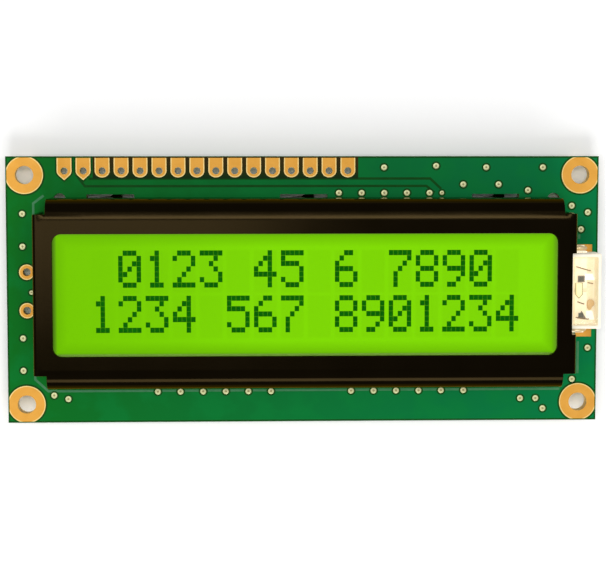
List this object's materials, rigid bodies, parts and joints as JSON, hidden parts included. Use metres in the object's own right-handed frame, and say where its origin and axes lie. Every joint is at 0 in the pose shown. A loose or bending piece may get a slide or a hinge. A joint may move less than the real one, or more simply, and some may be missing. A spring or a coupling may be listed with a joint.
{
  "type": "character lcd module",
  "caption": "Flat rectangular character display: a yellow-green window in a folded black steel bezel, on a green board with corner holes and a header row.",
  "frame": {"origin": "centre of the mounting-hole rectangle on the board's front face", "axes": "+X along the display to the right, +Y towards the header row, +Z out of the display face"},
  "size_m": [0.08, 0.036, 0.0123],
  "materials": {
    "board_laminate": "green solder mask over glass-epoxy laminate, satin",
    "gold_plating": "thin gold over nickel and copper, satin",
    "tinned_copper": "tinned copper dots, satin",
    "black_steel": "black coated steel sheet, semi-gloss",
    "display_glass": "clear soda-lime glass",
    "polariser_film": "clear polariser film, slightly green",
    "liquid_crystal": "yellow-green display layer, lit from behind",
    "seal_epoxy": "cured sealing resin",
    "acrylic": "clear moulded acrylic",
    "white_film": "white polyester film",
    "white_moulding": "white moulded plastic, slightly cream",
    "clear_resin": "clear cast epoxy",
    "lead_metal": "silver-plated lead strip",
    "die": "semiconductor die",
    "connector_rubber": "layered silicone rubber",
    "black_epoxy": "cast black epoxy, semi-gloss",
    "chip_ceramic": "black glazed chip body",
    "capacitor_ceramic": "brown fired ceramic"
  },
  "bodies": {
    "root": {"circuit_board": "board_laminate", "mounting_pads": "gold_plating", "header_pads": "gold_plating", "terminal_rings": "gold_plating", "lamp_pads": "gold_plating", "reflector_film": "white_film", "light_guide": "acrylic", "diffuser_film": "white_film", "backlight_frame": "white_moulding", "lamp_housing": "white_moulding", "lamp_leads": "lead_metal", "lamp_dice": "die", "lamp_resin": "clear_resin", "zebra_strip_top": "connector_rubber", "zebra_strip_bottom": "connector_rubber", "rear_polariser": "polariser_film", "rear_glass": "display_glass", "cell_seal": "seal_epoxy", "liquid_crystal": "liquid_crystal", "fill_port_plug": "seal_epoxy", "front_glass": "display_glass", "front_polariser": "polariser_film", "bezel": "black_steel", "controller_glob_top": "black_epoxy", "driver_glob_top": "black_epoxy", "chip_pads": "tinned_copper", "chip_resistors": "chip_ceramic", "chip_resistor_caps": "lead_metal", "chip_capacitors": "capacitor_ceramic", "chip_capacitor_caps": "lead_metal"}
  },
  "joints": []
}
